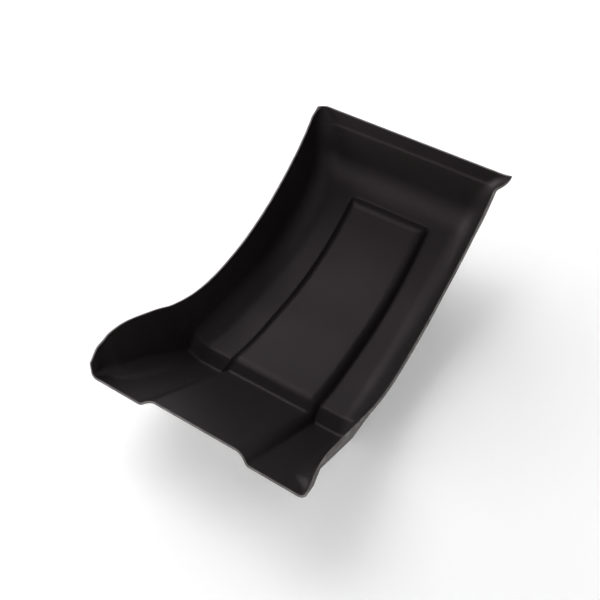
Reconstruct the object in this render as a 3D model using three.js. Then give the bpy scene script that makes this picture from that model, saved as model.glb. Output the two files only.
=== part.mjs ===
// A scoop-shaped tray formed from one sheet of black plastic: an open front lip, a sloping front floor, a low
// step, a long curved ramp, an end wall with a stepped rim band, two leaning side walls, and a raised panel
// that runs up the middle from the lip.
// Millimetres. +X across the tray, +Y from the lip to the end wall, +Z up, standing on its sole.
import * as THREE from 'three';

// ---- Driving dimensions ----
const SHEET = 2.6;              // thickness of the plastic sheet

// Side view of the floor beside the panel, from the lip to the top edge. Angles are degrees above level.
const FRONT_LENGTH = 168;       // lip to the foot of the step
const FRONT_SLOPE = -38;
const STEP_LENGTH = 22;         // face of the step that crosses the floor
const STEP_SLOPE = 28;
const STEP_FOOT_RADIUS = 5;
const STEP_BROW_RADIUS = 8;
const DIP_SLOPE = -15;          // the ramp starts downhill
const DIP_RADIUS = 250;
const SOLE_LENGTH = 44;         // level stretch that the tray stands on
const RAMP_RADIUS = 275;
const RAMP_SLOPE = 38;          // where the ramp ends
const HEAD_RADIUS = 70;         // bend from the ramp into the end wall
const HEAD_SLOPE = 83;
const HEAD_LENGTH = 59;         // straight part of the end wall, rim band included
const BAND_HEIGHT = 18;         // stepped band under the top edge
const BAND_FOLD = 3;            // fold between the wall and the band
const BAND_STEP = 1.4;          // how far the band stands back

// Half widths of the inner face.
const LIP_HALF = 134;           // floor at the lip, to the line where it would meet a wall without a cove
const COLLAR_HALF = 125;        // the same just behind the lip, where the walls draw in
const COLLAR_START = 18;        // from the lip
const COLLAR_END = 36;
const FLOOR_HALF = 113;         // the same behind the step
const RIM_HALF = 129;           // top edge of the side walls, behind
const RIM_BULGE = 10;           // how much further out it stands in front

// Raised panel.
const PANEL_LIFT = 9.5;
const PANEL_LIP_HALF = 71;      // foot of its flanks
const PANEL_STEP_HALF = 66;
const PANEL_TOP_HALF = 60.5;
const FLANK_LIP = 20;           // width of its sloping flanks
const FLANK_RAMP = 15;
const FLANK_TOP = 18;           // the same at its top end
const FLANK_FOOT = 0.35;        // share of a flank taken by the hollow at its foot
const PANEL_OVERRUN = 6;        // its top end stops this far past the end of the ramp
const PANEL_CORNER = 9;         // plan radius of its top corners

// Side walls, at places along the floor. Each wall is ruled by straight lines from the floor to its top edge:
// height is a line's length, lean its angle above level seen from the side, bulge the share of RIM_BULGE that
// its top stands out, and cove how far the rounded corner reaches from the corner line, both ways.
const WALL_LINES = [
  { at: ['front', 0], height: 15, lean: 73, bulge: 0.92, cove: 5 },
  { at: ['front', 0.07], height: 34, lean: 76, bulge: 0.84, cove: 7 },
  { at: ['front', 0.15], height: 44, lean: 80, bulge: 0.8, cove: 15 },
  { at: ['front', 0.28], height: 58, lean: 86, bulge: 0.85, cove: 18 },
  { at: ['front', 0.5], height: 71, lean: 88, bulge: 0.95, cove: 19 },
  { at: ['front', 0.8], height: 79, lean: 87.5, bulge: 0.85, cove: 18 },
  { at: ['front', 1], height: 85.5, lean: 90.8, bulge: 0.71, cove: 17 },
  { at: ['foot', 0.5], height: 85, lean: 91, bulge: 0.68, cove: 17 },
  { at: ['foot', 1], height: 82.5, lean: 91, bulge: 0.67, cove: 17 },
  { at: ['riser', 1], height: 68.3, lean: 91.7, bulge: 0.62, cove: 19 },
  { at: ['brow', 1], height: 65.3, lean: 92.5, bulge: 0.6, cove: 20 },
  { at: ['dip', 0.6], height: 61, lean: 92.3, bulge: 0.4, cove: 23 },
  { at: ['sole', 0.5], height: 62.5, lean: 91.5, bulge: 0.2, cove: 25 },
  { at: ['ramp', 0.35], height: 76, lean: 92.5, bulge: 0, cove: 28 },
  { at: ['ramp', 0.6], height: 78, lean: 99, bulge: 0, cove: 29 },
  { at: ['ramp', 0.85], height: 76, lean: 108, bulge: 0, cove: 29 },
  { at: ['ramp', 1], height: 72.5, lean: 115.5, bulge: 0, cove: 29 },
  { at: ['head', 0.4], height: 67, lean: 123.5, bulge: 0, cove: 29 },
  { at: ['head', 0.8], height: 57, lean: 131, bulge: 0, cove: 28 },
  { at: ['wall', 0.2], height: 45, lean: 136, bulge: 0, cove: 26 },
  { at: ['wall', 0.7], height: 33, lean: 141.5, bulge: 0, cove: 23 },
  { at: ['band', 0], height: 24, lean: 143, bulge: 0, cove: 17 },
  { at: ['band', 1], height: 8, lean: 161, bulge: 0, cove: 6 },
];
const COVE_FULLNESS = 0.55;     // how far the cove's curve is drawn towards the corner line
const COVE_LIMIT = 0.8;         // largest share of a wall's height that the cove may take

// Rows of the mesh in each stretch of the side view, and columns across.
const ROWS = {
  front: 12, foot: 4, riser: 2, brow: 3, dip: 4, sole: 2, ramp: 12, head: 8, wall: 3, fold: 1, band: 3,
};
const PANEL_COLUMNS = 4;
const FLANK_COLUMNS = 5;
const STRIP_COLUMNS = 2;
const COVE_COLUMNS = 5;
const WALL_COLUMNS = 2;

const { degToRad, lerp, clamp, smoothstep } = THREE.MathUtils;

// ---- Side view ----
// The stretches in order. A positive turn bends the floor upwards. The lifted line is the face of the panel.
function stretches(lift) {
  const footTurn = degToRad(STEP_SLOPE - FRONT_SLOPE);
  const browTurn = degToRad(STEP_SLOPE - DIP_SLOPE);
  const footSetback = (STEP_FOOT_RADIUS + lift) * Math.tan(footTurn / 2);
  const browSetback = STEP_BROW_RADIUS * Math.tan(browTurn / 2);
  return [
    { name: 'front', length: FRONT_LENGTH - footSetback },
    { name: 'foot', radius: STEP_FOOT_RADIUS, turn: footTurn },
    { name: 'riser', length: STEP_LENGTH - footSetback - browSetback },
    { name: 'brow', radius: STEP_BROW_RADIUS + lift, turn: -browTurn },
    { name: 'dip', radius: DIP_RADIUS - lift, turn: degToRad(-DIP_SLOPE) },
    { name: 'sole', length: SOLE_LENGTH },
    { name: 'ramp', radius: RAMP_RADIUS - lift, turn: degToRad(RAMP_SLOPE) },
    { name: 'head', radius: HEAD_RADIUS - lift, turn: degToRad(HEAD_SLOPE - RAMP_SLOPE) },
    { name: 'wall', length: HEAD_LENGTH - BAND_HEIGHT - BAND_FOLD },
    { name: 'fold', length: BAND_FOLD },
    { name: 'band', length: BAND_HEIGHT },
  ];
}

// Walks the stretches and gives a station at every row: y, z, the slope there, and the distance walked.
function sideView(lift) {
  let slope = degToRad(FRONT_SLOPE);
  let y = -lift * Math.sin(slope);
  let z = lift * Math.cos(slope);
  let distance = 0;
  const stations = [{ y, z, slope, distance }];
  const starts = {};
  for (const { name, length, radius, turn } of stretches(lift)) {
    const rows = ROWS[name];
    const walked = length ?? radius * Math.abs(turn);
    starts[name] = { distance, walked };
    const bend = (turn ?? 0) / rows;
    const chord = turn ? 2 * radius * Math.sin(Math.abs(bend) / 2) : length / rows;
    for (let row = 0; row < rows; row += 1) {
      y += chord * Math.cos(slope + bend / 2);
      z += chord * Math.sin(slope + bend / 2);
      slope += bend;
      distance += walked / rows;
      stations.push({ y, z, slope, distance });
    }
  }
  return { stations, starts };
}

const floor = sideView(0);
const panel = sideView(PANEL_LIFT);
const place = ([name, share]) => floor.starts[name].distance + share * floor.starts[name].walked;
const RAMP_END = place(['ramp', 1]);
const TOP = place(['band', 1]);

// ---- Values that change along the floor ----
// A smooth curve through the given places and values.
function smoothCurve(places, values) {
  const last = places.length - 1;
  const slopes = values.map((_, i) => {
    const a = Math.max(i - 1, 0);
    const b = Math.min(i + 1, last);
    return (values[b] - values[a]) / (places[b] - places[a]);
  });
  return (distance) => {
    let i = 0;
    while (i < last - 1 && distance > places[i + 1]) i += 1;
    const span = places[i + 1] - places[i];
    const t = clamp((distance - places[i]) / span, 0, 1);
    const rise = values[i + 1] - values[i];
    const curve = t * (1 - t) * ((1 - t) * (slopes[i] * span - rise) - t * (slopes[i + 1] * span - rise));
    return values[i] + t * rise + curve;
  };
}

const wallPlaces = WALL_LINES.map((line) => place(line.at));
const wallCurve = (key) => smoothCurve(wallPlaces, WALL_LINES.map((line) => line[key]));
const wallHeight = wallCurve('height');
const wallLean = wallCurve('lean');
const wallBulge = wallCurve('bulge');
const wallCove = wallCurve('cove');

// Half width of the floor to the corner line: it narrows to the step and widens up the end wall.
function cornerHalf(distance) {
  const foot = place(['foot', 0.5]);
  const collar = (LIP_HALF - COLLAR_HALF) * (1 - smoothstep(distance, COLLAR_START, COLLAR_END));
  if (distance < foot) return lerp(COLLAR_HALF, FLOOR_HALF, distance / foot) + collar;
  const climb = clamp((distance - RAMP_END) / (TOP - RAMP_END), 0, 1);
  return lerp(FLOOR_HALF, RIM_HALF, climb);
}

// Half width of the panel to the foot of its flanks: it narrows all the way up, faster over the step.
function panelHalf(distance) {
  const foot = place(['foot', 0.5]);
  const brow = place(['brow', 0.5]);
  const footHalf = (PANEL_LIP_HALF + PANEL_STEP_HALF) / 2;
  if (distance < foot) return lerp(PANEL_LIP_HALF, footHalf, distance / foot);
  if (distance < brow) return lerp(footHalf, PANEL_STEP_HALF, (distance - foot) / (brow - foot));
  return lerp(PANEL_STEP_HALF, PANEL_TOP_HALF, clamp((distance - brow) / (RAMP_END - brow), 0, 1));
}

const flankWidth = (distance) => lerp(FLANK_LIP, FLANK_RAMP, clamp(distance / FRONT_LENGTH, 0, 1));

// The rise across a flank, 0 to 1: hollow at its foot, then crowned up to the face of the panel.
function flankRise(share) {
  const t = clamp(share, 0, 1);
  return t < FLANK_FOOT ? t * t / FLANK_FOOT : 1 - (1 - t) ** 2 / (1 - FLANK_FOOT);
}

// How much of the panel's lift a point has: 1 on the panel, 0 off it.
function panelShare(x, distance) {
  const flank = flankWidth(distance);
  const across = Math.abs(x) - panelHalf(distance) + PANEL_CORNER;
  const along = (distance - RAMP_END - PANEL_OVERRUN) * flank / FLANK_TOP + PANEL_CORNER;
  const outside = Math.hypot(Math.max(across, 0), Math.max(along, 0));
  const edge = outside + Math.min(Math.max(across, along), 0) - PANEL_CORNER;
  return flankRise(-edge / flank);
}

// ---- Inner face ----
// One row of points from the centre line to the top edge of the right wall.
function halfRow(row) {
  const base = floor.stations[row];
  const lifted = panel.stations[row];
  const { distance, slope } = base;
  const corner = new THREE.Vector3(cornerHalf(distance), base.y, base.z);
  const lean = degToRad(wallLean(distance));
  const reach = wallHeight(distance);
  const rim = new THREE.Vector3(
    RIM_HALF + RIM_BULGE * wallBulge(distance),
    base.y + reach * Math.cos(lean),
    base.z + reach * Math.sin(lean),
  );
  const up = rim.clone().sub(corner);
  const cove = Math.min(wallCove(distance), COVE_LIMIT * up.length());
  up.normalize();
  const coveFoot = corner.clone().setX(corner.x - cove);
  const coveTop = corner.clone().addScaledVector(up, cove);
  const coveCurve = new THREE.CubicBezierCurve3(
    coveFoot,
    coveFoot.clone().lerp(corner, COVE_FULLNESS),
    coveTop.clone().lerp(corner, COVE_FULLNESS),
    coveTop,
  );
  const foot = panelHalf(distance);
  const shoulder = foot - flankWidth(distance);
  const setBack = BAND_STEP * smoothstep(distance, TOP - BAND_HEIGHT - BAND_FOLD, TOP - BAND_HEIGHT);

  const points = [];
  const add = (x, y, z, share) => points.push(new THREE.Vector3(
    x, y + share * setBack * Math.sin(slope), z - share * setBack * Math.cos(slope),
  ));
  const addFloor = (x) => {
    const share = panelShare(x, distance);
    add(x, lerp(base.y, lifted.y, share), lerp(base.z, lifted.z, share), 1);
  };
  for (let i = 0; i < PANEL_COLUMNS / 2; i += 1) addFloor(shoulder * i / (PANEL_COLUMNS / 2));
  for (let i = 0; i < FLANK_COLUMNS; i += 1) addFloor(lerp(shoulder, foot, i / FLANK_COLUMNS));
  for (let i = 0; i < STRIP_COLUMNS; i += 1) addFloor(lerp(foot, coveFoot.x, i / STRIP_COLUMNS));
  for (let i = 0; i < COVE_COLUMNS; i += 1) {
    const t = i / COVE_COLUMNS;
    const { x, y, z } = coveCurve.getPoint(t);
    add(x, y, z, 1 - smoothstep(t, 0, 1));
  }
  for (let i = 0; i <= WALL_COLUMNS; i += 1) {
    const { x, y, z } = coveTop.clone().lerp(rim, i / WALL_COLUMNS);
    add(x, y, z, 0);
  }
  return points;
}

// Whole rows, from the left wall's top edge to the right wall's.
const inner = floor.stations.map((_, row) => {
  const right = halfRow(row);
  const left = right.slice(1).reverse().map((point) => point.clone().setX(-point.x));
  return [...left, ...right];
});
const rowCount = inner.length;
const columnCount = inner[0].length;

// ---- Sheet ----
// The outer face lies one thickness under the inner face, square to it.
const outer = inner.map((row, i) => row.map((point, j) => {
  const along = inner[Math.min(i + 1, rowCount - 1)][j].clone().sub(inner[Math.max(i - 1, 0)][j]);
  const across = row[Math.min(j + 1, columnCount - 1)].clone().sub(row[Math.max(j - 1, 0)]);
  const upwards = across.cross(along).normalize();
  return point.clone().addScaledVector(upwards, -SHEET);
}));

// Beside the panel the sole is flat underneath, so that the tray stands still.
const ROUNDING = 0.01;
const soleStart = place(['sole', 0]);
const soleEnd = place(['sole', 1]);
const soleHeight = floor.stations.find((station) => station.distance > soleStart).z - SHEET;
floor.stations.forEach(({ distance }, row) => {
  if (distance < soleStart - ROUNDING || distance > soleEnd + ROUNDING) return;
  inner[row].forEach((point, column) => {
    const beside = Math.abs(point.x) > panelHalf(distance) - ROUNDING;
    const onFloor = Math.abs(point.x) < cornerHalf(distance) - wallCove(distance) + ROUNDING;
    if (beside && onFloor) outer[row][column].z = soleHeight;
  });
});

// One closed body: inner face, outer face, and the cut edge all round.
function sheetGeometry() {
  const positions = [...inner.flat(), ...outer.flat()].flatMap(({ x, y, z }) => [x, y, z]);
  const innerIndex = (i, j) => i * columnCount + j;
  const outerIndex = (i, j) => rowCount * columnCount + i * columnCount + j;
  const triangles = [];
  const quad = (a, b, c, d) => triangles.push(a, b, c, a, c, d);
  for (let i = 0; i + 1 < rowCount; i += 1) {
    for (let j = 0; j + 1 < columnCount; j += 1) {
      quad(innerIndex(i, j), innerIndex(i, j + 1), innerIndex(i + 1, j + 1), innerIndex(i + 1, j));
      quad(outerIndex(i, j), outerIndex(i + 1, j), outerIndex(i + 1, j + 1), outerIndex(i, j + 1));
    }
    const last = columnCount - 1;
    quad(innerIndex(i, 0), innerIndex(i + 1, 0), outerIndex(i + 1, 0), outerIndex(i, 0));
    quad(innerIndex(i, last), outerIndex(i, last), outerIndex(i + 1, last), innerIndex(i + 1, last));
  }
  for (let j = 0; j + 1 < columnCount; j += 1) {
    const last = rowCount - 1;
    quad(innerIndex(0, j), outerIndex(0, j), outerIndex(0, j + 1), innerIndex(0, j + 1));
    quad(innerIndex(last, j), innerIndex(last, j + 1), outerIndex(last, j + 1), outerIndex(last, j));
  }
  const geometry = new THREE.BufferGeometry();
  geometry.setAttribute('position', new THREE.Float32BufferAttribute(positions, 3));
  geometry.setIndex(triangles);
  geometry.computeVertexNormals();
  return geometry;
}

const blackPlastic = new THREE.MeshStandardMaterial({ color: 0x1b1918, roughness: 0.45, metalness: 0 });
const shell = new THREE.Mesh(sheetGeometry(), blackPlastic);
shell.name = 'tray_shell';

// The origin is under the middle of the tray's box, at the height of the sole.
shell.geometry.computeBoundingBox();
const { min, max } = shell.geometry.boundingBox;
shell.position.set(-(min.x + max.x) / 2, -(min.y + max.y) / 2, -min.z);

const tray = new THREE.Group();
tray.name = 'tray';
tray.add(shell);

export default tray;
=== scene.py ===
# %% [markdown]
# # A formed plastic tray
# This lesson dresses one part: a scoop-shaped paint roller tray, pressed from a single sheet of black
# plastic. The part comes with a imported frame, which says how large it is and where it stands. The frame's
# own mesh is coarse, because it is made for physics. So we build the visible sheet again from the same side
# view and the same rulings, only much finer, and give it the finishes of real formed plastic.

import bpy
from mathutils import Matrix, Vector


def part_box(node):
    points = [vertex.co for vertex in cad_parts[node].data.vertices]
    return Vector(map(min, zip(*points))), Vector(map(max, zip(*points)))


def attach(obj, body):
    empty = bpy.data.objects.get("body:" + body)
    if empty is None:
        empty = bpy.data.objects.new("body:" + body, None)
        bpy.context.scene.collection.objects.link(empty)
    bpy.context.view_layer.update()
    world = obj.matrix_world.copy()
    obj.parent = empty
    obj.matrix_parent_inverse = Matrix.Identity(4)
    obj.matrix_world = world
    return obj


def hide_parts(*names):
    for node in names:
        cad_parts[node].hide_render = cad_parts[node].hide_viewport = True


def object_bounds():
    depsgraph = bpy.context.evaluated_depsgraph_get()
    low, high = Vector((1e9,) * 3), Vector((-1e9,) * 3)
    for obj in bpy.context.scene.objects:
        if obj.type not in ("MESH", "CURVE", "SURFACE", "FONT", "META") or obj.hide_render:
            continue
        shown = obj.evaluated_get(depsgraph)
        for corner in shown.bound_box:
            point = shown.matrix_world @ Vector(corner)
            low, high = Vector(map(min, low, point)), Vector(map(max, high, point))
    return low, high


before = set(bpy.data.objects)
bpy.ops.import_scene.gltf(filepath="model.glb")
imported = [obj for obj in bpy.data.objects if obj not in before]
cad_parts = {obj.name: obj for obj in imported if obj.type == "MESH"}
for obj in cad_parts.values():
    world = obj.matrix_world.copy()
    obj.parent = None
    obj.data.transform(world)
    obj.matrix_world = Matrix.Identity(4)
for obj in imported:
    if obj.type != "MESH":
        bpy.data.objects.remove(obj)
cad_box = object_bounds()
print("frame box, mm:", [[round(value * 1000, 1) for value in corner] for corner in cad_box])

# %% [markdown]
# ## Tools and units
# Blender works in metres, and a tray is drawn in millimetres, so one factor turns one into the other.
# Arrays of points are quicker to handle in numpy than one vertex at a time.

# %% Tools for the lesson
import math

import bpy
import numpy as np
from mathutils import Matrix, Vector

MM = 0.001
scene = bpy.context.scene
collection = scene.collection
print("unit of the drawing:", MM, "m")

# %% [markdown]
# ## The side view
# Seen from the side, the floor of the tray is a chain of straight stretches and arcs: down from the open
# lip, up over a low step, a shallow dip, a level sole that it stands on, the long ramp, the bend at its
# head and the end wall with a stepped band under its edge. A chain like this is easiest to walk with a
# turtle: keep a position and a heading, and let each stretch say how long it is and how far it turns.

# %% Sizes of the side view, millimetres and degrees above level
SHEET = 2.6
FRONT_LENGTH, FRONT_SLOPE = 168, -38
STEP_LENGTH, STEP_SLOPE = 22, 28
STEP_FOOT_RADIUS, STEP_BROW_RADIUS = 5, 8
DIP_SLOPE, DIP_RADIUS = -15, 250
SOLE_LENGTH = 44
RAMP_RADIUS, RAMP_SLOPE = 275, 38
HEAD_RADIUS, HEAD_SLOPE, HEAD_LENGTH = 70, 83, 59
BAND_HEIGHT, BAND_FOLD, BAND_STEP = 18, 3, 1.4
PANEL_LIFT = 9.5
FINE_ROWS = dict(
    front=64, foot=12, riser=5, brow=12, dip=16, sole=10, ramp=60, head=28, wall=12, fold=8, band=10,
)


def stretches(lift):
    """Name, length and turn of each stretch, for a line lifted square off the floor."""
    foot_turn = math.radians(STEP_SLOPE - FRONT_SLOPE)
    brow_turn = math.radians(STEP_SLOPE - DIP_SLOPE)
    foot_setback = (STEP_FOOT_RADIUS + lift) * math.tan(foot_turn / 2)
    brow_setback = STEP_BROW_RADIUS * math.tan(brow_turn / 2)
    ramp_turn = math.radians(RAMP_SLOPE)
    head_turn = math.radians(HEAD_SLOPE - RAMP_SLOPE)
    return [
        ("front", FRONT_LENGTH - foot_setback, 0),
        ("foot", STEP_FOOT_RADIUS * foot_turn, foot_turn),
        ("riser", STEP_LENGTH - foot_setback - brow_setback, 0),
        ("brow", (STEP_BROW_RADIUS + lift) * brow_turn, -brow_turn),
        ("dip", (DIP_RADIUS - lift) * math.radians(-DIP_SLOPE), math.radians(-DIP_SLOPE)),
        ("sole", SOLE_LENGTH, 0),
        ("ramp", (RAMP_RADIUS - lift) * ramp_turn, ramp_turn),
        ("head", (HEAD_RADIUS - lift) * head_turn, head_turn),
        ("wall", HEAD_LENGTH - BAND_HEIGHT - BAND_FOLD, 0),
        ("fold", BAND_FOLD, 0),
        ("band", BAND_HEIGHT, 0),
    ]


EDGE_ROUND = 0.45                      # radius of the cut edge's arrises
EDGE_STEPS = (0, 0.04, 0.15, 0.45, 1)  # shares of that radius at which the mesh has a line


def side_view(lift):
    """Stations along the floor (y, z, slope, distance), and the start and length of each stretch."""
    slope = math.radians(FRONT_SLOPE)
    y, z, distance = -lift * math.sin(slope), lift * math.cos(slope), 0.0
    stations, starts = [(y, z, slope, 0.0)], {}
    for name, length, turn in stretches(lift):
        starts[name] = (distance, length)
        shares = list(np.linspace(0, 1, FINE_ROWS[name] + 1)[1:])
        if name == "front":
            shares = [s * EDGE_ROUND / length for s in EDGE_STEPS[1:]] + shares
        if name == "band":
            shares = shares[:-1] + [1 - s * EDGE_ROUND / length for s in reversed(EDGE_STEPS)]
        y0, z0, slope0 = y, z, slope
        for share in shares:
            slope = slope0 + turn * share
            if turn:
                radius = length / turn
                y = y0 + radius * (math.sin(slope) - math.sin(slope0))
                z = z0 - radius * (math.cos(slope) - math.cos(slope0))
            else:
                y, z = y0 + length * share * math.cos(slope), z0 + length * share * math.sin(slope)
            stations.append((y, z, slope, distance + length * share))
        distance += length
    return np.array(stations), starts


floor_line, starts = side_view(0)
panel_line, _ = side_view(PANEL_LIFT)
assert len(floor_line) == len(panel_line)
print("rows:", len(floor_line), "length of the floor from lip to top edge, mm:", round(floor_line[-1, 3], 1))

# %% [markdown]
# ## How the section changes along the floor
# The walls are ruled: at each place a straight line runs from the floor's corner to the top edge, with its
# own height, lean and outward bulge, and a cove rounds the corner. A smooth curve through a few such
# rulings gives every row in between. The curve is a cubic through the given values, with the slope at each
# taken from its neighbours, which never wanders far from what it is given.

# %% Rulings of the walls and widths of the floor
def place(name, share):
    start, length = starts[name]
    return start + share * length


WALL_RULINGS = [  # stretch, share, height, lean, bulge, cove
    ("front", 0, 15, 73, 0.92, 5),
    ("front", 0.07, 34, 76, 0.84, 7),
    ("front", 0.15, 44, 80, 0.8, 15),
    ("front", 0.28, 58, 86, 0.85, 18),
    ("front", 0.5, 71, 88, 0.95, 19),
    ("front", 0.8, 79, 87.5, 0.85, 18),
    ("front", 1, 85.5, 90.8, 0.71, 17),
    ("foot", 0.5, 85, 91, 0.68, 17),
    ("foot", 1, 82.5, 91, 0.67, 17),
    ("riser", 1, 68.3, 91.7, 0.62, 19),
    ("brow", 1, 65.3, 92.5, 0.6, 20),
    ("dip", 0.6, 61, 92.3, 0.4, 23),
    ("sole", 0.5, 62.5, 91.5, 0.2, 25),
    ("ramp", 0.35, 76, 92.5, 0, 28),
    ("ramp", 0.6, 78, 99, 0, 29),
    ("ramp", 0.85, 76, 108, 0, 29),
    ("ramp", 1, 72.5, 115.5, 0, 29),
    ("head", 0.4, 67, 123.5, 0, 29),
    ("head", 0.8, 57, 131, 0, 28),
    ("wall", 0.2, 45, 136, 0, 26),
    ("wall", 0.7, 33, 141.5, 0, 23),
    ("band", 0, 24, 143, 0, 17),
    ("band", 1, 8, 161, 0, 6),
]
LIP_HALF, COLLAR_HALF, COLLAR_START, COLLAR_END = 134, 125, 18, 36
FLOOR_HALF, RIM_HALF, RIM_BULGE = 113, 129, 10
COVE_FULLNESS, COVE_LIMIT = 0.55, 0.8
CREASE = 0.12  # how far short of a smooth join the cove meets the wall, behind the step


def smooth_curve(places, values):
    """A cubic through the given places and values."""
    places, values = np.array(places, float), np.array(values, float)
    back = np.r_[0, np.arange(len(places) - 1)]
    ahead = np.r_[np.arange(1, len(places)), len(places) - 1]
    tangents = (values[ahead] - values[back]) / (places[ahead] - places[back])

    def value(at):
        at = np.asarray(at, float)
        i = np.clip(np.searchsorted(places, at, side="left") - 1, 0, len(places) - 2)
        span, rise = places[i + 1] - places[i], values[i + 1] - values[i]
        t = np.clip((at - places[i]) / span, 0, 1)
        bow = (1 - t) * (tangents[i] * span - rise) - t * (tangents[i + 1] * span - rise)
        return values[i] + t * rise + t * (1 - t) * bow

    return value


ruling_places = [place(name, share) for name, share, *_ in WALL_RULINGS]
wall_height, wall_lean, wall_bulge, wall_cove = (
    smooth_curve(ruling_places, [ruling[k] for ruling in WALL_RULINGS]) for k in (2, 3, 4, 5)
)
RAMP_END, TOP = place("ramp", 1), place("band", 1)
CREASE_FADE = place("dip", 0.8), place("ramp", 0.5)
sole_height = round(float(wall_height(place("sole", 0.5))), 1)
print("ruled places:", len(WALL_RULINGS), "wall height at the sole, mm:", sole_height)

# %% [markdown]
# ## The raised panel
# A flat panel stands proud of the floor all the way up from the lip. Its flanks are tight at the foot and
# softly crowned above, wide at the lip and narrower on the ramp, and its top end is rounded in plan. Each
# point of the floor gets a share of the lift: 1 on the panel, 0 beside it. The distance to a rounded
# rectangle gives that share, and two parabolas that meet without a kink give the rise across the flank.

# %% Panel outline and its lift
PANEL_LIP_HALF, PANEL_STEP_HALF, PANEL_TOP_HALF = 71, 66, 60.5
FLANK_LIP, FLANK_RAMP, FLANK_TOP, FLANK_FOOT = 20, 15, 18, 0.22
PANEL_OVERRUN, PANEL_CORNER = 6, 9


def smooth_step(x, low, high):
    t = np.clip((x - low) / (high - low), 0, 1)
    return t * t * (3 - 2 * t)


def corner_half(distance):
    """Half width of the floor, to the line where it would meet a wall without a cove."""
    foot = place("foot", 0.5)
    collar = (LIP_HALF - COLLAR_HALF) * (1 - smooth_step(distance, COLLAR_START, COLLAR_END))
    ahead = COLLAR_HALF + (FLOOR_HALF - COLLAR_HALF) * distance / foot + collar
    climb = np.clip((distance - RAMP_END) / (TOP - RAMP_END), 0, 1)
    return np.where(distance < foot, ahead, FLOOR_HALF + (RIM_HALF - FLOOR_HALF) * climb)


def panel_half(distance):
    foot, brow = place("foot", 0.5), place("brow", 0.5)
    foot_half = (PANEL_LIP_HALF + PANEL_STEP_HALF) / 2
    return np.interp(
        distance,
        [0, foot, brow, RAMP_END],
        [PANEL_LIP_HALF, foot_half, PANEL_STEP_HALF, PANEL_TOP_HALF],
    )


def flank_width(distance):
    return np.interp(distance, [0, FRONT_LENGTH], [FLANK_LIP, FLANK_RAMP])


def flank_rise(share):
    """The rise across a flank, 0 to 1: hollow at its foot, then crowned up to the face of the panel."""
    t = np.clip(share, 0, 1)
    return np.where(t < FLANK_FOOT, t * t / FLANK_FOOT, 1 - (1 - t) ** 2 / (1 - FLANK_FOOT))


def panel_share(x, distance):
    flank = flank_width(distance)
    across = np.abs(x) - panel_half(distance) + PANEL_CORNER
    along = (distance - RAMP_END - PANEL_OVERRUN) * flank / FLANK_TOP + PANEL_CORNER
    outside = np.hypot(np.maximum(across, 0), np.maximum(along, 0))
    edge = outside + np.minimum(np.maximum(across, along), 0) - PANEL_CORNER
    return flank_rise(-edge / flank)


print("panel width at lip and top, mm:", 2 * PANEL_LIP_HALF, 2 * PANEL_TOP_HALF)

# %% [markdown]
# ## The inner face
# Every row of the inner face is worked out at once: the panel, its flank, the strip beside it, the cove as
# a cubic Bezier curve, and the straight wall up to its cut edge. The lines of the mesh follow the folds of
# the sheet, so each fold keeps its true radius at any size.

# %% Points of the inner face
PANEL_COLUMNS, FLANK_COLUMNS, STRIP_COLUMNS, COVE_COLUMNS, WALL_COLUMNS = 10, 16, 8, 24, 14


def column_shares(count):
    return np.linspace(0, 1, count + 1)[:-1]


def inner_half():
    """One half of the inner face: rows along the floor, columns from the centre line to the top edge."""
    y, z, slope, distance = (floor_line[:, k : k + 1] for k in range(4))
    panel_y, panel_z = panel_line[:, 0:1], panel_line[:, 1:2]
    corner = np.concatenate([corner_half(distance), y, z], 1)
    lean, reach = np.radians(wall_lean(distance)), wall_height(distance)
    rim_x = RIM_HALF + RIM_BULGE * wall_bulge(distance)
    rim = np.concatenate([rim_x, y + reach * np.cos(lean), z + reach * np.sin(lean)], 1)
    up = rim - corner
    ruling = np.linalg.norm(up, axis=1, keepdims=True)
    up /= ruling
    cove = np.minimum(wall_cove(distance), COVE_LIMIT * ruling)
    cove_foot, cove_top = corner.copy(), corner + up * cove
    cove_foot[:, 0:1] -= cove
    foot = panel_half(distance)
    shoulder = foot - flank_width(distance)
    set_back = BAND_STEP * smooth_step(distance, TOP - BAND_HEIGHT - BAND_FOLD, TOP - BAND_HEIGHT)

    columns = []

    def add(x, at_y, at_z, share):
        columns.append(np.concatenate(
            [x, at_y + share * set_back * np.sin(slope), at_z - share * set_back * np.cos(slope)], 1,
        ))

    floor_columns = [shoulder * s for s in column_shares(PANEL_COLUMNS)]
    floor_columns += [shoulder + (foot - shoulder) * s for s in column_shares(FLANK_COLUMNS)]
    floor_columns += [foot + (cove_foot[:, 0:1] - foot) * s for s in column_shares(STRIP_COLUMNS)]
    for x in floor_columns:
        share = panel_share(x, distance)
        add(x, y + (panel_y - y) * share, z + (panel_z - z) * share, 1)
    near_foot = cove_foot + (corner - cove_foot) * COVE_FULLNESS
    near_top = cove_top + (corner - cove_top) * COVE_FULLNESS
    crease = smooth_step(distance, place("foot", 0.5), place("brow", 1))
    crease *= 1 - smooth_step(distance, *CREASE_FADE)
    near_top += (cove_foot - corner) * CREASE * crease
    for t in column_shares(COVE_COLUMNS):
        point = (
            cove_foot * (1 - t) ** 3 + near_foot * 3 * t * (1 - t) ** 2
            + near_top * 3 * t * t * (1 - t) + cove_top * t**3
        )
        add(*np.split(point, 3, axis=1), 1 - smooth_step(t, 0, 1))
    wall_length = np.linalg.norm(rim - cove_top, axis=1, keepdims=True)
    for t in column_shares(WALL_COLUMNS):
        add(*np.split(cove_top + (rim - cove_top) * t, 3, axis=1), 0)
    for step in reversed(EDGE_STEPS):
        share = 1 - step * EDGE_ROUND / wall_length
        add(*np.split(cove_top + (rim - cove_top) * share, 3, axis=1), 0)
    return np.stack(columns, 1)


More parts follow.
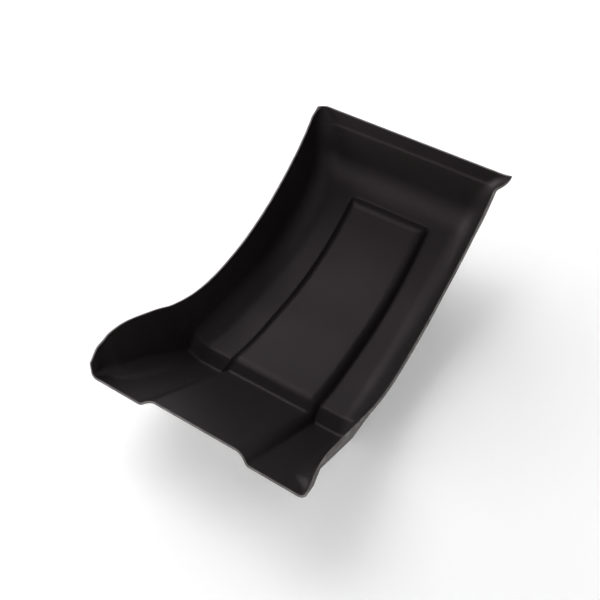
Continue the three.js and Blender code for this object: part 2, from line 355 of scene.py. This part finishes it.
right_half = inner_half()
left_half = right_half[:, :0:-1] * np.array([-1, 1, 1])
inner = np.concatenate([left_half, right_half], 1)
ROWS, COLUMNS = inner.shape[:2]
print("inner face:", ROWS, "rows by", COLUMNS, "columns")

# %% [markdown]
# ## A corner that did not fold over
# Where the band meets the right wall, the sheet did not fold forward all the way. It runs on in line with
# the top edge, to a point. The left end is folded as it should be. So the last columns of the mesh are laid
# flat there, by a share that fades out down the wall, and no fold is left where it starts.

# %% Lay the right end of the band flat
FLARE_OUT, FLARE_UP, FLARE_RUN = 10.5, 2.0, 24.0
SIDE_COLUMNS = COVE_COLUMNS + WALL_COLUMNS + len(EDGE_STEPS)
side = inner[:, -SIDE_COLUMNS:]
steps = np.linalg.norm(np.diff(side, axis=1), axis=2).cumsum(axis=1)
out = np.concatenate([np.zeros((ROWS, 1)), steps / steps[:, -1:]], 1)
flat = np.repeat(side[:, :1], SIDE_COLUMNS, axis=1)
flat[..., 0] += (RIM_HALF + FLARE_OUT - flat[..., 0]) * out
flat[..., 2] += FLARE_UP * out**2
fade = smooth_step(floor_line[:, 3], TOP - FLARE_RUN, TOP)[:, None, None]
inner[:, -SIDE_COLUMNS:] = side + (flat - side) * fade
print("right top corner, mm from the centre line:", round(float(inner[-1, -1, 0]), 1))

# %% [markdown]
# ## Thickness and the cut edge
# The outer face lies one thickness under the inner face, square to it. Near the cut edge both faces draw in
# by the arris radius, so that the edge catches a thin line of light as a trimmed sheet does.

# %% Outer face and rounded arrises
def face_normals(points):
    along, across = np.gradient(points, axis=0), np.gradient(points, axis=1)
    normals = np.cross(across, along)
    return normals / np.linalg.norm(normals, axis=2, keepdims=True)


def edge_distance():
    """Distance of every point from the cut edge, as far as the arris radius."""
    along = floor_line[:, 3][:, None] * np.ones((1, COLUMNS))
    rim_steps = np.cumsum(np.linalg.norm(np.diff(inner[:, ::-1], axis=1), axis=2), axis=1)
    from_right = np.concatenate([np.zeros((ROWS, 1)), rim_steps], 1)[:, ::-1]
    from_side = np.minimum(from_right, from_right[:, ::-1])
    return np.minimum(np.minimum(along, TOP - along), from_side)


normals = face_normals(inner)
near = np.clip(edge_distance() / EDGE_ROUND, 0, 1)
draw_in = (EDGE_ROUND * (1 - np.sqrt(1 - (1 - near) ** 2)))[..., None]
inner_skin = inner - normals * draw_in
outer_skin = inner - normals * (SHEET - draw_in)
print("sheet, mm:", SHEET, "points drawn in at the edge:", int((draw_in > 0).sum()))

# %% [markdown]
# ## One closed sheet
# The two faces and the cut edge make a single closed mesh. Its faces get three materials by where they are:
# the satin inner face, the grained outer face, and the paler cut edge, whose pale colour is partly a painted
# highlight.

# %% Build the sheet
INNER_FACE, OUTER_FACE, CUT_EDGE = 0, 1, 2


def build_sheet(name):
    count = ROWS * COLUMNS
    index = np.arange(count).reshape(ROWS, COLUMNS)
    a, b, c, d = index[:-1, :-1], index[:-1, 1:], index[1:, 1:], index[1:, :-1]
    inside = np.stack([a, b, c, d], -1).reshape(-1, 4)
    outside = np.stack([a, d, c, b], -1).reshape(-1, 4) + count
    lip, top, left, right = index[0], index[-1], index[:, 0], index[:, -1]
    rims = []
    for line, flip in ((lip, True), (top, False), (left, False), (right, True)):
        quads = np.stack([line[:-1], line[1:], line[1:] + count, line[:-1] + count], -1)
        rims.append(quads[:, ::-1] if flip else quads)
    faces = np.concatenate([inside, outside, *rims])
    rounded = (near < 1).reshape(-1)
    on_edge = rounded[inside].all(1)
    slots = np.concatenate([
        np.where(on_edge, CUT_EDGE, INNER_FACE),
        np.where(rounded[outside - count].all(1), CUT_EDGE, OUTER_FACE),
        np.full(sum(len(rim) for rim in rims), CUT_EDGE),
    ])
    points = np.concatenate([inner_skin.reshape(-1, 3), outer_skin.reshape(-1, 3)]) * MM
    mesh = bpy.data.meshes.new(name)
    mesh.from_pydata(points.tolist(), [], faces.tolist())
    mesh.polygons.foreach_set("material_index", slots.astype(np.int32))
    mesh.shade_smooth()
    mesh.update()
    return bpy.data.objects.new(name, mesh)


tray = build_sheet("tray_sheet")
collection.objects.link(tray)
print("tray faces:", len(tray.data.polygons))

# %% [markdown]
# ## Into the frame
# The drawing starts at the lip, and the frame has its origin under the middle of the tray. The frame's own
# box says where the sheet belongs, so we move our points until the two boxes share a centre and a base.

# %% Place the sheet by the frame's box
low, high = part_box("tray_shell")
points = np.array([vertex.co for vertex in tray.data.vertices])
own_low, own_high = points.min(0), points.max(0)
shift = Vector((
    (low.x + high.x - own_low[0] - own_high[0]) / 2,
    (low.y + high.y - own_low[1] - own_high[1]) / 2,
    low.z - own_low[2],
))
tray.data.transform(Matrix.Translation(shift))
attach(tray, "root")
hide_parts("tray_shell")
print("sheet size, mm:", np.round((own_high - own_low) / MM, 1))
print("frame size, mm:", [round(value / MM, 1) for value in high - low])

# %% [markdown]
# ## Shader maths
# A material is a small sum: take a noise, scale it, add it to a base roughness. Written as Python
# expressions, such sums read like the sums they are. The class wraps one socket, and each operator adds a
# Math node.

# %% A socket that knows arithmetic
class Socket:
    def __init__(self, tree, value):
        self.tree, self.value = tree, value

    def _math(self, operation, a, b):
        return Nodes(self.tree).add("ShaderNodeMath", {"operation": operation}, {0: a, 1: b})[0]

    def __add__(self, other):
        return self._math("ADD", self, other)

    def __mul__(self, other):
        return self._math("MULTIPLY", self, other)

    __radd__, __rmul__ = __add__, __mul__


class Nodes:
    """Adds nodes to a tree: a type, its settings, and the values or links of its input sockets."""

    def __init__(self, tree):
        self.tree = tree

    def add(self, kind, settings=None, inputs=None):
        node = self.tree.nodes.new(kind)
        for key, value in (settings or {}).items():
            setattr(node, key, value)
        for key, value in (inputs or {}).items():
            if isinstance(value, Socket):
                self.tree.links.new(value.value, node.inputs[key])
            else:
                node.inputs[key].default_value = value
        return [Socket(self.tree, output) for output in node.outputs]


def new_material(name):
    material = bpy.data.materials.new(name)
    material.use_nodes = True
    material.node_tree.nodes.clear()
    return material, Nodes(material.node_tree)


print("shader tools ready")

# %% [markdown]
# ## Finishes of the sheet
# Formed black plastic is one material with three looks. The face against the air in forming stays satin.
# The face that touched the mould takes its fine grain. The trimmed edge is cut, so it is rougher and paler,
# and its pale colour is also partly a painted highlight.

# %% Helpers for the finishes
WARM_SHEEN = (1.0, 0.87, 0.91, 1)  # the faint purple-brown that black plastic shows in its gloss


def finish_shader(material, nodes, colour, roughness, normal=None, specular=0.5, glow=0.0, sheen=WARM_SHEEN):
    inputs = {"Base Color": colour, "Roughness": roughness}
    inputs["Specular IOR Level"], inputs["Specular Tint"] = specular, sheen
    if glow:
        inputs["Emission Color"], inputs["Emission Strength"] = (1, 1, 1, 1), glow
    if normal is not None:
        inputs["Normal"] = normal
    shader = nodes.add("ShaderNodeBsdfPrincipled", {}, inputs)[0]
    nodes.add("ShaderNodeOutputMaterial", {}, {"Surface": shader})
    return material


def mix_colours(nodes, share, plain, changed):
    """Plain where share is 0, changed where it is 1."""
    settings = {"data_type": "RGBA"}
    return nodes.add("ShaderNodeMix", settings, {0: share, 6: plain, 7: changed})[2]


def noise(nodes, where, scale, detail=3.0):
    return nodes.add("ShaderNodeTexNoise", {}, {"Vector": where, "Scale": scale, "Detail": detail})[0]


def above(nodes, height, low, high):
    """0 below low, 1 above high, and a straight ramp between them."""
    settings = {"clamp": True}
    inputs = {"Value": height, "From Min": low, "From Max": high}
    return nodes.add("ShaderNodeMapRange", settings, inputs)[0]


print("gloss tint:", WARM_SHEEN[:3])

# %% [markdown]
# ## Satin inner face
# The face that you see from above is smooth, with slight waves left by forming, a satin gloss that is not
# quite even, and a few pale specks. Noises at four scales give these: two for the roughness, one for the
# waves and one that is cut off high, so that only its peaks show as specks. Painted textures would need an
# unwrapped mesh.

# %% Satin black
def satin_black():
    material, nodes = new_material("satin_black")
    where = nodes.add("ShaderNodeTexCoord")[3]
    fine, broad = noise(nodes, where, 900.0), noise(nodes, where, 22.0, 4.0)
    specks = above(nodes, noise(nodes, where, 420.0, 2.0), 0.74, 0.8)
    roughness = 0.41 + 0.1 * broad + 0.05 * fine
    colour = mix_colours(nodes, specks, (0.0075, 0.0062, 0.0064, 1), (0.035, 0.031, 0.031, 1))
    waves = noise(nodes, where, 60.0, 2.0)
    height = fine + 6.0 * waves
    bump = nodes.add("ShaderNodeBump", {}, {"Height": height, "Distance": 0.00006, "Strength": 0.35})[0]
    return finish_shader(material, nodes, colour, roughness, bump, specular=0.23)

# %% [markdown]
# ## Grained outer face
# The outer face is duller and a little lighter, with a very fine grain and cloudy patches. A fine noise in
# a bump node is enough, because the grain is far too small to be worth real geometry.

# %% Grained black
def grained_black():
    material, nodes = new_material("grained_black")
    where = nodes.add("ShaderNodeTexCoord")[3]
    grain, cloud = noise(nodes, where, 1500.0, 4.0), noise(nodes, where, 30.0, 4.0)
    colour = mix_colours(nodes, cloud, (0.022, 0.0185, 0.0175, 1), (0.034, 0.029, 0.027, 1))
    bump = nodes.add("ShaderNodeBump", {}, {"Height": grain, "Distance": 0.0002, "Strength": 0.6})[0]
    return finish_shader(material, nodes, colour, 0.55 + 0.1 * cloud, bump)

# %% [markdown]
# ## Cut edge, with a painted highlight
# Trimming leaves a rough, paler edge with scuffs, and part of its pale colour is a painted highlight. It has
# a material of its own, so that it shows as a thin light outline round the whole sheet.

# %% Cut edge, with a painted highlight
def cut_edge_painted_highlight():
    material, nodes = new_material("cut_edge_painted_highlight")
    where = nodes.add("ShaderNodeTexCoord")[3]
    grain, scuffs = noise(nodes, where, 700.0, 4.0), noise(nodes, where, 90.0, 4.0)
    scuffed = above(nodes, scuffs, 0.35, 0.65)
    # pale colours: partly the cut plastic's own tone, partly a painted highlight along the edge
    colour = mix_colours(nodes, scuffed, (0.06, 0.056, 0.053, 1), (0.13, 0.125, 0.12, 1))
    bump = nodes.add("ShaderNodeBump", {}, {"Height": grain, "Distance": 0.0002, "Strength": 0.5})[0]
    return finish_shader(material, nodes, colour, 0.6, bump)


for material in (satin_black(), grained_black(), cut_edge_painted_highlight()):
    tray.data.materials.append(material)
print("materials:", [material.name for material in tray.data.materials])

# %% [markdown]
# ## Floor and backdrop
# A white floor that curves up into a backdrop all round has no edge, so it looks the same from every side.
# The curve is a profile turned about the vertical axis. The floor glows a little, as a lit table does.

# %% Floor
FLOOR_RADIUS, SWEEP_RADIUS, BACKDROP_HEIGHT, SWEEP_SIDES = 2.6, 0.8, 2.4, 96
FLOOR_GAP = 0.0002  # keeps the sole and the floor from lying in one plane
FLOOR_WHITE, FLOOR_GLOW = (0.9, 0.9, 0.9, 1), 0.15


def make_floor():
    """A round floor that sweeps up into a wall all round, so that no view ends in a black horizon."""
    profile = [(FLOOR_RADIUS * share, 0.0) for share in (0.1, 0.4, 1)]
    for turn in np.radians(np.linspace(10, 90, 9)):
        profile.append((FLOOR_RADIUS + SWEEP_RADIUS * math.sin(turn), SWEEP_RADIUS * (1 - math.cos(turn))))
    profile.append((FLOOR_RADIUS + SWEEP_RADIUS, BACKDROP_HEIGHT))
    base = cad_box[0].z - FLOOR_GAP
    angles = np.radians(np.arange(SWEEP_SIDES) * 360 / SWEEP_SIDES)
    points = [(0, 0, base)]
    points += [(r * math.cos(angle), r * math.sin(angle), base + z) for r, z in profile for angle in angles]
    following = [(k + 1) % SWEEP_SIDES for k in range(SWEEP_SIDES)]
    faces = [(0, 1 + k, 1 + following[k]) for k in range(SWEEP_SIDES)]
    for ring in range(len(profile) - 1):
        inside, outside = 1 + ring * SWEEP_SIDES, 1 + (ring + 1) * SWEEP_SIDES
        for k in range(SWEEP_SIDES):
            faces.append((inside + k, outside + k, outside + following[k], inside + following[k]))
    mesh = bpy.data.meshes.new("floor")
    mesh.from_pydata(points, [], faces)
    mesh.shade_smooth()
    ground = bpy.data.objects.new("floor", mesh)
    collection.objects.link(ground)
    material, nodes = new_material("white_floor")
    finish_shader(material, nodes, FLOOR_WHITE, 0.9, specular=0.1, glow=FLOOR_GLOW, sheen=(1, 1, 1, 1))
    ground.data.materials.append(material)
    return ground


print("floor:", make_floor().name, "radius, m:", FLOOR_RADIUS + SWEEP_RADIUS)

# %% [markdown]
# ## Soft lamps
# Each lamp is a large square light that faces the tray, placed by its compass direction and its height in
# degrees. Most of the light comes from the left, high behind the tray and low beside it. Black plastic
# shows little colour of its own, so what the eye reads as its shape is the reflection of these lamps. A
# weak world fills the shadows.

# %% Lamps
def soft_light(name, direction, distance, size, power):
    """A square light that far from the tray in that direction, facing it."""
    data = bpy.data.lights.new(name, "AREA")
    data.shape, data.size, data.energy = "SQUARE", size, power
    light = bpy.data.objects.new(name, data)
    towards = Vector(direction).normalized()
    light.location = tray_centre + towards * distance
    light.rotation_mode = "QUATERNION"
    light.rotation_quaternion = towards.to_track_quat("Z", "Y")
    light.visible_camera = False  # the lamps light the tray but never stand in a view
    collection.objects.link(light)
    return light


tray_centre = (cad_box[0] + cad_box[1]) / 2
LAMP_DISTANCE, WORLD_GLOW = 2.2, 0.02
for name, azimuth, height, size, power in (
    ("left_high", 180, 60, 1.2, 8.0),
    ("back_left", 144, 35, 1.2, 12.0),
    ("back_left_high", 150, 66, 1.0, 6.5),
    ("back_high", 118, 60, 1.2, 4.0),
    ("back_low", 108, 35, 1.0, 5.0),
    ("right_fill", 0, 60, 1.4, 8.0),
    ("front_fill", 240, 55, 1.2, 1.0),
    ("left_low", 180, 12, 0.8, 24.0),
    ("front_left_low", 216, 12, 0.8, 16.0),
    ("front_low", 252, 12, 0.8, 8.0),
    ("front_right_low", 288, 12, 0.8, 4.0),
):
    turn, rise = math.radians(azimuth), math.radians(height)
    way = (math.cos(turn) * math.cos(rise), math.sin(turn) * math.cos(rise), math.sin(rise))
    soft_light(name, way, LAMP_DISTANCE, size, power)
world = bpy.data.worlds.new("studio") if scene.world is None else scene.world
scene.world = world
world.use_nodes = True
background = world.node_tree.nodes["Background"]
background.inputs["Color"].default_value = (1, 1, 1, 1)
background.inputs["Strength"].default_value = WORLD_GLOW
scene.view_settings.view_transform = "Standard"
print("tray centre, mm:", [round(v / MM) for v in tray_centre])

# %% [markdown]
# ## Camera
# The camera stands in front of the tray, to its right and well above it, and looks at a point inside the
# tray. Turning the camera's own Z axis away from that point is all the aiming it needs.

# %% Camera
camera_data = bpy.data.cameras.new("camera")
camera_data.lens, camera_data.sensor_width = 51.0, 36.0
camera = bpy.data.objects.new("camera", camera_data)
camera.location = (0.3374, -0.5612, 0.8638)
aim = Vector((-0.0056, -0.0182, 0.0967))
camera.rotation_mode = "QUATERNION"
camera.rotation_quaternion = (camera.location - aim).to_track_quat("Z", "Y")
collection.objects.link(camera)
scene.camera = camera
print("camera to aim point, mm:", round((camera.location - aim).length / MM))
